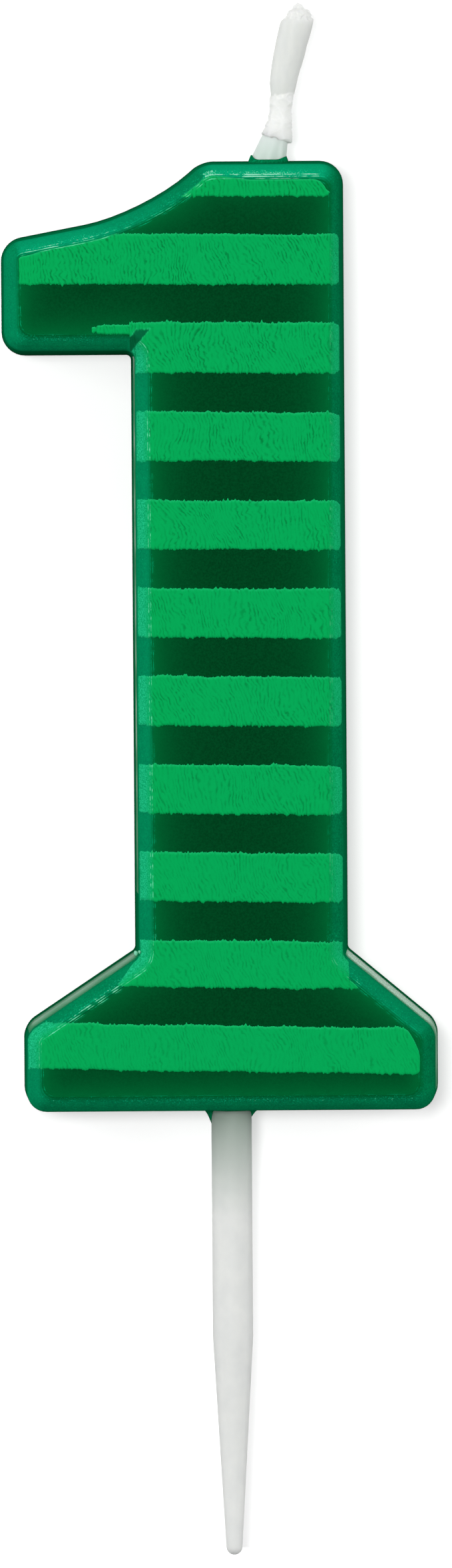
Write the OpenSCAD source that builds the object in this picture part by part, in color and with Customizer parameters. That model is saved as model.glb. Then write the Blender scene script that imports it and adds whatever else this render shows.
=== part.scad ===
// Number candle: a moulded wax figure 1 with lacquered stripes, a primed cotton wick and a plastic cake pick.
// Sizes are in millimetres. +Z is up and -Y is the front, so +X is to the right of someone facing the stripes.
// The origin is on the pick's axis, where the pick's free length starts below the wax.

/* [Numeral] */
// Height of the numeral, from its underside to its flat top
body_h = 80; // [60:0.5:120]
// Width of the foot
foot_w = 35; // [28:0.2:48]
// Height of the foot's upright ends
foot_h = 7.3; // [5:0.1:11]
// Height above the underside at which the shoulders meet the stem
shoulder_h = 13.6; // [10:0.1:22]
// Width of the stem
stem_w = 18; // [13:0.1:24]
// Distance from the pick to the middle of the stem, to the right
stem_shift = 0.95; // [-2:0.05:3]
// Reach of the flag, to the left of the stem
flag_reach = 10.9; // [7:0.1:16]
// Height of the flag's outer end
flag_end_h = 9.65; // [6:0.05:14]
// Distance from the flat top down to the top of the flag's outer end
flag_dip = 6.6; // [5:0.1:10]
// Width of the flat top
flat_top_w = 11.95; // [9:0.05:14]
// Slope of the flag's outer top edge, in degrees
flag_slope = 10.8; // [4:0.2:16]
// Slope of the rise from the flag to the flat top, in degrees
crest_slope = 41; // [32:1:52]

/* [Corners] */
// Radius of the outer corners
corner_r = 2; // [1:0.1:2.5]
// Radius at the left end of the flat top
crest_r = 2.6; // [1:0.1:5]
// Radius of the hollow between the flag and the rise to the flat top
sweep_r = 18.5; // [6:0.5:30]
// Radius of the inner corner under the flag
flag_inner_r = 0.4; // [0.2:0.05:2]
// Radius of the inner corners where the shoulders meet the stem
shoulder_r = 0.5; // [0.2:0.05:2]
// Least radius of a corner of the front face
face_corner_r = 0.5; // [0.2:0.05:0.9]

/* [Section] */
// Thickness from the flat back to the front face
body_t = 10; // [6:0.5:16]
// Draft of the side walls, in degrees
draft = 2.6; // [0.5:0.1:5]
// Width of the front bevel, seen from the front
bevel_w = 1.35; // [0.8:0.05:2]
// Depth of the front bevel
bevel_d = 1.35; // [0.6:0.05:2.5]
// Size of the broken edge round the back
back_edge = 0.3; // [0.1:0.05:0.8]

/* [Stripes] */
// Height of one stripe
stripe_h = 4.1; // [2:0.1:8]
// Bare wax between two stripes
stripe_gap = 3.27; // [1:0.01:8]
// Height of the lowest stripe's lower edge above the underside
stripe_start = 3.25; // [2:0.05:6]
// Thickness of the lacquer
stripe_film = 0.12; // [0.05:0.01:0.3]
// Width of bevel left bare outside the stripes
stripe_bare = 0.5; // [0.35:0.05:0.7]
// Least height of a stripe that the top of the face cuts short
stripe_least = 1; // [0.3:0.1:2]

/* [Wick] */
// Diameter of the wick in the wax and at its pinched bend
wick_d = 1.7; // [1.2:0.1:2]
// Distance from the middle of the flat top to the wick, to the right
wick_offset = -0.15; // [-2:0.05:2]
// Lean of the free wick to the right, in degrees
wick_lean = 12; // [4:0.5:20]
// Length of wick outside the wax, along its lean
wick_len = 13.55; // [10:0.05:20]
// Distance along the lean from the flat top to the pinched bend
wick_bend_at = 4.5; // [4.2:0.1:6]
// Length above the bend over which the wick widens
wick_flare = 2.4; // [1.5:0.1:4]
// Diameter of the wick above that
wick_free_d = 2.5; // [2.1:0.1:3.5]
// Diameter of the wick where its end begins to fray
wick_end_d = 2.65; // [2.1:0.05:4]
// Length of the frayed end
wick_fray = 1.8; // [0.8:0.1:3]
// Diameter of the last tuft
wick_tuft_d = 0.7; // [0.4:0.1:1.4]
// Depth to which the wick's tip sits in the wick's root
wick_seat = 0.1; // [0.05:0.01:0.15]
// Clearance round the rounded lower end of the wick's tip
wick_clearance = 0.08; // [0.05:0.01:0.15]
// How far the corner of the wick stands proud where it leaves the wax
wick_knuckle = 0.03; // [0.02:0.01:0.1]
// Wax between the wick's lower end and the pick's anchor
wick_foot_gap = 4; // [1:0.5:10]
// Thickness of the priming wax round the wick at the flat top
wick_wax_t = 0.65; // [0.4:0.05:1.2]
// Thickness of the priming wax at its upper end
wick_wax_top_t = 0.1; // [0.05:0.01:0.25]
// Distance from the bend down to the upper end of the priming wax
wick_wax_drop = 1.1; // [0.9:0.1:2.5]
// Depth to which the priming wax reaches below the flat top
wick_wax_sunk = 1; // [0.8:0.1:2]
// Width of the wax lip round the priming wax
wick_lip_w = 0.35; // [0.1:0.05:0.8]
// Height of that lip
wick_lip_h = 0.5; // [0.2:0.05:1]

/* [Pick] */
// Diameter of the pick
pick_d = 3.4; // [2.6:0.1:5]
// Length of the pick's straight wall below the wax
pick_straight = 18.2; // [8:0.1:40]
// Length of the pick's taper, down to its tip
pick_taper = 18.5; // [6:0.1:40]
// Diameter of the rounded tip
pick_tip_d = 1.36; // [0.8:0.02:2]
// Width of the wax lip round the pick
pick_lip_w = 0.55; // [0.1:0.05:1]
// Height of that lip
pick_lip_h = 0.7; // [0.3:0.05:2]
// Length of the anchor inside the wax
anchor_len = 20; // [10:0.5:30]
// Diameter of the anchor's rings
anchor_d = 3.2; // [2.4:0.1:4]
// Depth of the grooves between them
anchor_groove = 0.3; // [0.1:0.05:0.5]
// Length of each ring
anchor_ring = 1.6; // [0.8:0.1:2.4]
// Number of those rings
anchor_rings = 3; // [1:1:4]

/* [Hidden] */
$fn = 96;
// Steps on each rounded corner of an outline
arc_steps = 6;

// The numeral's heights, from the pick's origin
body_z = pick_lip_h;
top_z = body_z + body_h;
front_y = -body_t / 2;
back_y = body_t / 2;

// The outline's own points
stem_left = stem_shift - stem_w / 2;
stem_right = stem_shift + stem_w / 2;
flag_left = stem_left - flag_reach;
flag_top = body_h - flag_dip;
flag_under = flag_top - flag_end_h;
crest_x = stem_right - flat_top_w;

// The hollow's corner, where the flag's top edge would meet the rise, and the largest radius that fits there
flag_rise = tan(flag_slope);
crest_rise = tan(crest_slope);
sweep_x = (body_h - crest_x * crest_rise - flag_top + flag_left * flag_rise) / (flag_rise - crest_rise);
sweep_z = flag_top + (sweep_x - flag_left) * flag_rise;
sweep_turn = tan((crest_slope - flag_slope) / 2);
crest_room = (crest_x - sweep_x) / cos(crest_slope) - crest_r * tan(crest_slope / 2);
flag_room = (sweep_x - flag_left) / cos(flag_slope) - corner_r * tan((90 - flag_slope) / 2);
sweep_fit_r = min(sweep_r, min(crest_room, flag_room) / sweep_turn);

// How far the side wall and the front face lie inside the back outline
wall_inset = (body_t - bevel_d) * tan(draft);
face_inset = wall_inset + bevel_w;

// How far the cut that shapes the numeral's sides reaches outside the outline, and past the face and the back
trim_out = min(flag_inner_r, shoulder_r) / 2;
trim_past = face_corner_r / 2;

// The lacquer's section, at the edge of the face and at its outer rim on the bevel, and its lap onto the face,
// which is also how far it stays clear of the face's corners
bevel_angle = atan(bevel_d / bevel_w);
rim_reach = bevel_w - stripe_bare;
rim_depth = rim_reach * bevel_d / bevel_w;
film_side = stripe_film * sin(bevel_angle);
film_front = stripe_film * cos(bevel_angle);
film_mitre = stripe_film * tan(bevel_angle / 2);
wrap_lap = 2 * stripe_film;

// The stripes that fit on the face, from the lowest up
stripe_pitch = stripe_h + stripe_gap;
stripe_top = body_h - face_inset - stripe_least;
stripe_count = floor((stripe_top - stripe_start) / stripe_pitch) + 1;

// The wick's place and its lower end, and the flat end of its root below the bend
wick_x = stem_right - flat_top_w / 2 + wick_offset;
wick_foot_z = body_z + anchor_len + wick_foot_gap;
wick_root_end = wick_bend_at - wick_d / 2 + wick_seat;

// The priming wax: its length along the lean, and its radii at the flat top and at its upper end
wick_wax_len = wick_bend_at - wick_wax_drop;
wax_low_r = wick_d / 2 + wick_wax_t;
wax_high_r = wick_d / 2 + wick_wax_top_t;

function stripe_name(i) = str("stripe_", i < 10 ? "0" : "", i);

// Corners of the back outline, anticlockwise from the front: [x, height above the underside, radius]
CORNERS = [
    [-foot_w / 2, 0, corner_r],
    [foot_w / 2, 0, corner_r],
    [foot_w / 2, foot_h, corner_r],
    [stem_right, shoulder_h, shoulder_r],
    [stem_right, body_h, corner_r],
    [crest_x, body_h, crest_r],
    [sweep_x, sweep_z, sweep_fit_r],
    [flag_left, flag_top, corner_r],
    [flag_left, flag_under, corner_r],
    [stem_left, flag_under, flag_inner_r],
    [stem_left, shoulder_h, shoulder_r],
    [-foot_w / 2, foot_h, corner_r]
];

// The edges over whose bevel the stripes run: the stem's right and left, and the foot's left end
WRAPPED_EDGES = [3, 9, 11];

function corner(i) = CORNERS[(i + len(CORNERS)) % len(CORNERS)];
function point(i) = [corner(i).x, corner(i).y];
function edge(i) = (point(i + 1) - point(i)) / norm(point(i + 1) - point(i));
function inward(i) = [-edge(i).y, edge(i).x];
function turn(i) = atan2(cross(edge(i - 1), edge(i)), edge(i - 1) * edge(i));
function spun(v, a) = [v.x * cos(a) - v.y * sin(a), v.x * sin(a) + v.y * cos(a)];

// How much a corner's radius changes for each millimetre that the outline moves inwards: outer corners tighten,
// to face_corner_r or more at the front face, and inner ones open
function radius_rate(i) =
    turn(i) > 0 ? -min(1, (corner(i).z - face_corner_r) / face_inset) : 1;

// One corner of the outline, moved inwards and rounded
function rounded(i, inset) =
    let (
        before = inward(i - 1),
        mitre = (before + inward(i)) / (1 + before * inward(i)),
        side = sign(turn(i)),
        r = corner(i).z + inset * radius_rate(i),
        centre = point(i) + (inset + side * r) * mitre
    )
    [for (k = [0:arc_steps]) centre - side * r * spun(before, turn(i) * k / arc_steps)];

// The whole outline, moved inwards, flat and as a ring at one depth
function outline(inset) = [for (i = [0:len(CORNERS) - 1]) each rounded(i, inset)];
function ring(inset, y) = [for (p = outline(inset)) [p.x, y, body_z + p.y]];

// Heights between which an upright edge of the front face is straight
function straight(i) =
    let (one = rounded(i, face_inset)[arc_steps].y, other = rounded(i + 1, face_inset)[0].y)
    [min(one, other), max(one, other)];

// Radius of the priming wax at a distance along the wick's lean
function wax_r(a) = wax_low_r + (wax_high_r - wax_low_r) * a / wick_wax_len;

// A closed tube round the outline, through the corners [inset, y] of its section
module outline_tube(section) {
    rings = [for (p = section) ring(p[0], p[1])];
    n = len(rings[0]);
    m = len(rings);
    walls = [
        for (j = [0:m - 1], k = [0:n - 1])
            let (next = (j + 1) % m, beside = (k + 1) % n)
            [j * n + k, next * n + k, next * n + beside, j * n + beside]
    ];
    polyhedron(points = [for (r = rings) each r], faces = walls);
}

// The numeral without its lips and channels: a plain block, cut back to its bevel, draft and broken edge
module numeral() {
    difference() {
        translate([0, back_y, body_z]) rotate([90, 0, 0])
            linear_extrude(body_t) polygon(outline(-trim_out / 2));
        outline_tube([
            [face_inset + trim_past, front_y - trim_past * bevel_d / bevel_w],
            [wall_inset, front_y + bevel_d],
            [0, back_y - back_edge],
            [back_edge + trim_past, back_y + trim_past],
            [-trim_out, back_y + trim_past],
            [-trim_out, front_y - trim_past * bevel_d / bevel_w]
        ]);
    }
}

// Plan of the lacquer where it turns over the bevel beside an upright edge
module wrap_plan(i) {
    out = -inward(i).x;
    face_x = point(i).x - out * face_inset;
    polygon([
        [face_x - out * wrap_lap, front_y],
        [face_x, front_y],
        [face_x + out * rim_reach, front_y + rim_depth],
        [face_x + out * (rim_reach + film_side), front_y + rim_depth - film_front],
        [face_x + out * film_mitre, front_y - stripe_film],
        [face_x - out * wrap_lap, front_y - stripe_film]
    ]);
}

// Places its children on the wick's leaning axis, with the flat top at zero
module along_wick() {
    translate([wick_x, 0, top_z]) rotate([0, wick_lean, 0]) children();
}

// A leaning cone round the wick, given by its radii at the flat top and at its end, and cut off below the flat top
module wick_cone(length, low_r, high_r) {
    slope = (high_r - low_r) / length;
    start = -wick_wax_sunk - low_r;
    intersection() {
        along_wick() translate([0, 0, start])
            cylinder(h = length - start, r1 = low_r + slope * start, r2 = high_r);
        translate([wick_x - wick_len, -wick_len, top_z - wick_wax_sunk])
            cube(2 * wick_len);
    }
}

// The moulded wax numeral, with the wax lips that froze round the wick and the pick
module wax_body() {
    color("#04421f")
    difference() {
        union() {
            numeral();
            wick_cone(wick_lip_h, wax_low_r + wick_lip_w, wax_r(wick_lip_h));
            cylinder(h = pick_lip_h, d1 = pick_d, d2 = pick_d + 2 * pick_lip_w);
            translate([0, 0, pick_lip_h]) cylinder(h = face_inset, d = pick_d + 2 * pick_lip_w);
        }
        wick_cone(wick_wax_len, wax_low_r, wax_high_r);
        wick_root();
        pick();
    }
}

// The wick inside the wax and up to its pinched bend, with a hollow seat for the tip
module wick_root() {
    color("#e6e6df")
    difference() {
        union() {
            translate([wick_x, 0, wick_foot_z]) cylinder(h = top_z - wick_foot_z, d = wick_d);
            along_wick() sphere(d = wick_d + 2 * wick_knuckle);
            along_wick() cylinder(h = wick_root_end, d = wick_d);
        }
        along_wick() translate([0, 0, wick_bend_at]) sphere(d = wick_d + 2 * wick_clearance);
    }
}

// The cone of priming wax at the wick's foot
module wick_wax() {
    color("#d0ddd7")
    difference() {
        wick_cone(wick_wax_len, wax_low_r, wax_high_r);
        wick_root();
    }
}

// The free end of the wick, which bends about its rounded lower end
module wick_tip() {
    body_len = wick_len - wick_bend_at - wick_flare - wick_fray;
    color("#eeeeea")
    along_wick() translate([0, 0, wick_bend_at]) {
        sphere(d = wick_d);
        cylinder(h = wick_flare, d1 = wick_d, d2 = wick_free_d);
        translate([0, 0, wick_flare])
            cylinder(h = body_len, d1 = wick_free_d, d2 = wick_end_d);
        translate([0, 0, wick_flare + body_len])
            cylinder(h = wick_fray, d1 = wick_end_d, d2 = wick_tuft_d);
    }
}

// The plastic pick: rounded tip, taper and straight wall below the origin, grooved anchor above it
module pick() {
    pick_r = pick_d / 2;
    tip_r = pick_tip_d / 2;
    tip_z = tip_r - pick_straight - pick_taper;
    ring_r = anchor_d / 2;
    neck_r = ring_r - anchor_groove;
    ring_pitch = anchor_len / anchor_rings;
    color("#dfe1df")
    union() {
        rotate_extrude() polygon(concat(
            [[0, tip_z], [tip_r, tip_z], [pick_r, -pick_straight], [pick_r, 0], [neck_r, 0]],
            [for (i = [1:anchor_rings], p = [
                [neck_r, body_z + i * ring_pitch - anchor_ring],
                [ring_r, body_z + i * ring_pitch - anchor_ring],
                [ring_r, body_z + i * ring_pitch],
                [i < anchor_rings ? neck_r : 0, body_z + i * ring_pitch]
            ]) p]
        ));
        translate([0, 0, tip_z]) sphere(d = pick_tip_d);
    }
}

// One lacquered stripe, counted from the lowest
module stripe(i) {
    low = stripe_start + (i - 1) * stripe_pitch;
    high = low + stripe_h;
    left = min(flag_left, -foot_w / 2);
    right = max(stem_right, foot_w / 2);
    color("#03a455")
    union() {
        translate([0, front_y, body_z]) rotate([90, 0, 0]) linear_extrude(stripe_film)
        intersection() {
            polygon(outline(face_inset));
            translate([left, low]) square([right - left, stripe_h]);
        }
        for (e = WRAPPED_EDGES) {
            from = max(low, straight(e)[0] + wrap_lap);
            to = min(high, straight(e)[1] - wrap_lap);
            if (to > from) translate([0, 0, body_z + from]) linear_extrude(to - from) wrap_plan(e);
        }
    }
}

wax_body();
wick_root();
wick_wax();
wick_tip();
pick();
for (i = [1:stripe_count]) {
    stripe(i);
}
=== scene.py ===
# Number candle: a moulded wax figure 1 with lacquered stripes, a primed cotton wick and a plastic pick.
# Lengths are in millimetres, in the part's own frame. Each finished mesh is scaled to metres.
import math

import bmesh
import bpy
from mathutils import Matrix, Vector, noise
from mathutils.bvhtree import BVHTree
from mathutils.kdtree import KDTree
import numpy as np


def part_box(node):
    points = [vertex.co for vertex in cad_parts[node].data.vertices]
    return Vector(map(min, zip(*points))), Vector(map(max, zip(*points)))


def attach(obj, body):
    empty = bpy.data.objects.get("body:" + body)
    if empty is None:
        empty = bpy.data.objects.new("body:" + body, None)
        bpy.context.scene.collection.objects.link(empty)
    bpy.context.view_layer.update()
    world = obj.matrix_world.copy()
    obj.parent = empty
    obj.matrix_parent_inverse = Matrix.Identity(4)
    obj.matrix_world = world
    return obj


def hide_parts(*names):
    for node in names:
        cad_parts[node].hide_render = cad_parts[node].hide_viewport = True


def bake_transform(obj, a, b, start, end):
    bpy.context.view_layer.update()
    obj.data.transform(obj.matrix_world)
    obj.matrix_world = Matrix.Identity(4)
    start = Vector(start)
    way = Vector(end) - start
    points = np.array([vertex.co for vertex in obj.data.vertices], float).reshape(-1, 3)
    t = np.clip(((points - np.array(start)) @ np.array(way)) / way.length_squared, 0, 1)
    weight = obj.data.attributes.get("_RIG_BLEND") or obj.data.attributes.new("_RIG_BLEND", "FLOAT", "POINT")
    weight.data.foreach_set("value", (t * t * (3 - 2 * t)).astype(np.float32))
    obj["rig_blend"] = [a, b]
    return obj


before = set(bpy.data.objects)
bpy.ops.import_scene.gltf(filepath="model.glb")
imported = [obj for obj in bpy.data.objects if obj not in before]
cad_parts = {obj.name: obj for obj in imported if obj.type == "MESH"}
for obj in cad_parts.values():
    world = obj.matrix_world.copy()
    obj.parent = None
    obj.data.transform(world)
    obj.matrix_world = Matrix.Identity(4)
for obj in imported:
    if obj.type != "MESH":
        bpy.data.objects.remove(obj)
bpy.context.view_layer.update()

# A millimetre in metres, and a gap in millimetres that counts as none
MM = 0.001
TINY = 0.0005
ORIGIN = Vector((0, 0, 0))
UP = Vector((0, 0, 1))


def node_box(node):
    """The lowest and highest corner of one of the part's solids."""
    low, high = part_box(node)
    return low / MM, high / MM


# The numeral, with heights above its underside
WAX_LOW, WAX_HIGH = node_box("wax_body")
FRONT = WAX_LOW.y
BACK = WAX_HIGH.y
FLAG_LEFT = WAX_LOW.x
FOOT_HALF = WAX_HIGH.x
UNDERSIDE = 0.7
BODY_H = 80.0
TOP = UNDERSIDE + BODY_H
FOOT_H = 7.3
SHOULDER_H = 13.6
STEM_LEFT = -8.05
STEM_RIGHT = 9.95
FLAG_UNDER = 63.75
FLAG_TOP = 73.4
FLAG_RISE = math.tan(math.radians(10.8))
CREST_X = -2.0
CREST_RISE = math.tan(math.radians(41))
CORNER_R = 2.0
CREST_R = 2.6
SWEEP_R = 18.5
NOTCH_R = 0.5
ARMPIT_R = 0.4
SIDE_STEP = 0.6

# Its walls and edges. A step of the bevel goes this far in and this far forward, from the wall to the face,
# and the six pairs of steps between are tool lines
DRAFT_INSET = 0.39
WALL_STEPS = 4
BEVEL = 1.35
BEVEL_STEPS = [(0.45, 0.47)] + [(0.09, 0.115), (0.06, 0.03)] * 6 + [(0.2, 0.01)]
RIGHT_CUT = 0.5
INNER_R = 1.0
BROW_R = 0.3
BACK_EDGE = 0.3
BACK_R = 0.1

# The wax's finish: what it reads at each vertex, the gap between tool lines, how far the painted glow of
# light reaches into the face from its edge, and the measures next to that edge and on the lips
WAX_MEASURES = ("inward", "bloom_and_painted_light", "frost_and_glint", "tool_lines_light_and_shade", "polish")
LINE_GAP = 0.17
EDGE_GLOW = 1.4
FACE_START = 0.2
LIP_INWARD = -0.9

# Bands along the bevel and the walls: the depth of the middle behind the face, and half the width
UPPER_FROST = (0.55, 0.45)
LOWER_FROST = (0.35, 0.45)
CREST_CHIP = (0.6, 0.2)
SHOULDER_SHEEN = (5.0, 3.6)
STEM_SHEEN = (3.4, 3)

# Other places on the numeral: a chip on the crest, and the frosted notches above the shoulders, whose flecks
# are partly painted highlights
CHIP_X = CREST_X + 0.7
CHIP_HALF = 0.5
NOTCHES = [Vector((x, FRONT, UNDERSIDE + SHOULDER_H)) for x in (STEM_LEFT + 1, STEM_RIGHT - 1)]
NOTCH_REACH = 3

# The stripes, counted from the foot, and how single ones depart from the even row
STRIPES = 11
FOOT_STRIPE = 1
SHOULDER_STRIPE = 2
TIPPED_STRIPE = 9
FLAG_STRIPE = 10
TOP_STRIPE = STRIPES
STRIPE_H = 4.1
STRIPE_PITCH = 7.37
STRIPE_START = 3.25
LOWER_SHIFT = {FOOT_STRIPE: 0.48, SHOULDER_STRIPE: 0.18}
UPPER_SHIFT = {FOOT_STRIPE: 0.27, TIPPED_STRIPE: 0.1, FLAG_STRIPE: 0.12}
UPPER_END_R = {FOOT_STRIPE: 2.0, TOP_STRIPE: 1.5}
PLAIN_END_R = 0.6
LOWER_END_R = 0.5

# Their film: what its finish reads at each vertex, its thickness, how deep its edges are sunk in the wax,
# how little and how much of the bevel it covers, and how wide its thin margin and its bright brim are; the
# brim is a painted highlight along the upper edge
FILM_MEASURES = ("thin", "painted_brim_highlight", "inward", "tool_lines_light_and_shade", "bare")
FILM = 0.1
SUNK = 0.03
BRINK = 0.1
WHOLE_BEVEL = 1.4
MARGIN = 0.15
BRIM = 0.2

# The columns and rows that the film is made of, and half the least height of a column. The wax under them
# is felt for from in front, at these steps, down to this depth
COLUMN_STEP = 0.05
COLUMN_ROWS = 30
LEAST_HALF = 0.03
FEELER_START = FRONT - 20
FEELER_STEP = 0.1
DEEPEST = 2.5
NO_WAX = 99

# The thin tip that the ninth stripe has beyond the stem
TIP_X = -11.25
TIP_UPPER = UNDERSIDE + 65.95
TIP_LOWER = UNDERSIDE + 65.85

# The wick: centre X, height Z and half width of the primed cotton, lowest first, and where its coat ends
WICK_HINGE = Vector((4.7606, 0, 85.1017))
WICK_BEND = 1.3
WICK_COURSE = [
    (3.83, 79.6, 0.85), (3.85, 80.9, 1.0), (4.03, 81.9, 1.32), (4.33, 82.9, 1.2), (4.61, 84.1, 0.89),
    (4.7, 85.1, 0.8), (4.84, 86.1, 0.88), (4.95, 87.1, 1.08), (5.11, 88.1, 1.18), (5.36, 89.1, 1.24),
    (5.57, 90.1, 1.3), (5.83, 91.1, 1.33), (6.08, 92.1, 1.34), (6.16, 92.4, 1.28), (6.22, 92.6, 1.08),
    (6.28, 92.9, 1.0), (6.26, 93.15, 0.8), (6.22, 93.35, 0.52), (6.2, 93.6, 0.38), (6.2, 93.8, 0.15),
]
WICK_STEP = 0.06
TORN_Z = 82.5
HEM_Z = 86.15
CRACKS_END_Z = 90
COLLAR_Z = 92.3
WICK_END_Z = 94.0
WICK_FLATNESS = 0.9

# The priming wax at the wick's foot: radius, and height above the numeral's top
CONE_X = 3.68
CONE_LEAN = 0.29
CONE_FLATNESS = 0.92
CONE_PROFILE = [
    (0.5, -1), (1.48, -1), (1.47, 0), (1.43, 0.45), (1.33, 0.95), (1.24, 1.4), (1.15, 1.85), (0.98, 2.3),
    (0.75, 2.7), (0.5, 2.7),
]

# The lips of wax: radius, and height above the numeral's top for the one round the wick
WICK_LIP_X = 3.64
WICK_LIP = [
    (1.0, -0.4), (1.72, -0.4), (1.66, 0), (1.58, 0.2), (1.5, 0.42), (1.46, 0.52), (1.4, 0.52), (1.3, 0.3),
]
PICK_LIP = [
    (1.5, 1.5), (2.5, 1.5), (2.3, 0.95), (2.05, 0.6), (1.88, 0.25), (1.76, -0.05), (1.7, -0.2), (1.5, 0.1),
]
PICK_LIP_ROOT = 0.95

# The pick, with its mould seam: the turn in degrees, half the width in degrees and the swelling
PICK_R = 1.7
PICK_STRAIGHT = 18.2
PICK_TIP_R = 0.68
PICK_TIP = node_box("pick")[0].z
PICK_STEPS = 24
SEAM_TURN = 42
SEAM_WIDTH = 2.5
SEAM_RISE = 1.02
SHANK_TOP = 1.0
NECK_START = 1.2
ANCHOR_TOP = node_box("pick")[1].z
ANCHOR_R = 1.6
ANCHOR_NECK_R = 1.3
ANCHOR_RING_H = 1.6
ANCHOR_RINGS = 3

# How many steps go round the lips, the wick and the pick
LIP_ROUND = 64
WICK_ROUND = 72
PICK_ROUND = 96

# The camera, the point that the lights are turned to, and the stage
EYE = Vector((-0.27, -875, 66.4))
AIM = Vector((-0.27, 0, 28.36))
ROLL = -0.4
LENS = 159.44
SENSOR_H = 24
LIT_POINT = Vector((0, 0, 40))
STAGE_GAP = 0.05
FLOOR_HALF = 150
CARD_HALF = 80

# The sockets of a Mix node that mixes colours
SHARE, UNDER, OVER, MIXED = 0, 6, 7, 2

# A wave texture of scale 1 has its bands this far apart
WAVE_PERIOD = math.tau / 20


def clamp(value):
    """The value, kept between 0 and 1."""
    return min(max(value, 0), 1)


def near(value, peak, reach):
    """1 at the peak, falling to 0 at this distance from it."""
    return max(1 - abs(value - peak) / reach, 0)


def wobble(place, size, seed=0):
    """Smooth noise from -1 to 1, with bumps about this many millimetres apart."""
    return noise.noise(Vector(place) / size + Vector((seed * 7.3, seed * 3.1, seed * 5.7)))


def paint(code):
    """Turns an sRGB hex colour into linear values."""
    channels = [int(code[place:place + 2], 16) / 255 for place in (1, 3, 5)]
    return [c / 12.92 if c <= 0.04045 else ((c + 0.055) / 1.055) ** 2.4 for c in channels] + [1]


def add(tree, kind, inputs, **settings):
    """Adds a node with its settings, and gives each named input a value or a link."""
    node = tree.nodes.new(kind)
    for name, value in settings.items():
        setattr(node, name, value)
    for name, value in inputs.items():
        if isinstance(value, bpy.types.NodeSocket):
            tree.links.new(value, node.inputs[name])
        else:
            node.inputs[name].default_value = value
    return node


def new_material(name):
    """A material without nodes, and its tree."""
    material = bpy.data.materials.new(name)
    material.use_nodes = True
    material.node_tree.nodes.clear()
    return material, material.node_tree


def per_mm(length):
    """The scale of a pattern whose marks are this many millimetres apart."""
    return 1 / (length * MM)


def tool_lines(tree, place, inward):
    """Lines along the outline, one for each pass of the mould maker's tool, broken up into dashes.
    The value is 2 on the plain wax, more on a crest and less in a groove."""
    turn = add(tree, "ShaderNodeMath", {0: inward, 1: math.tau / LINE_GAP}, operation="MULTIPLY").outputs[0]
    ripple = add(tree, "ShaderNodeMath", {0: turn}, operation="SINE").outputs[0]
    drawn_out = add(tree, "ShaderNodeMapping", {"Vector": place, "Scale": (0.35, 1.0, 1.0)}).outputs[0]
    dashes = add(tree, "ShaderNodeTexNoise",
                 {"Vector": drawn_out, "Scale": per_mm(0.4), "Detail": 2.0}).outputs["Fac"]
    return add(tree, "ShaderNodeMath", {0: dashes, 1: 4.0, 2: ripple}, operation="MULTIPLY_ADD").outputs[0]


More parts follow.
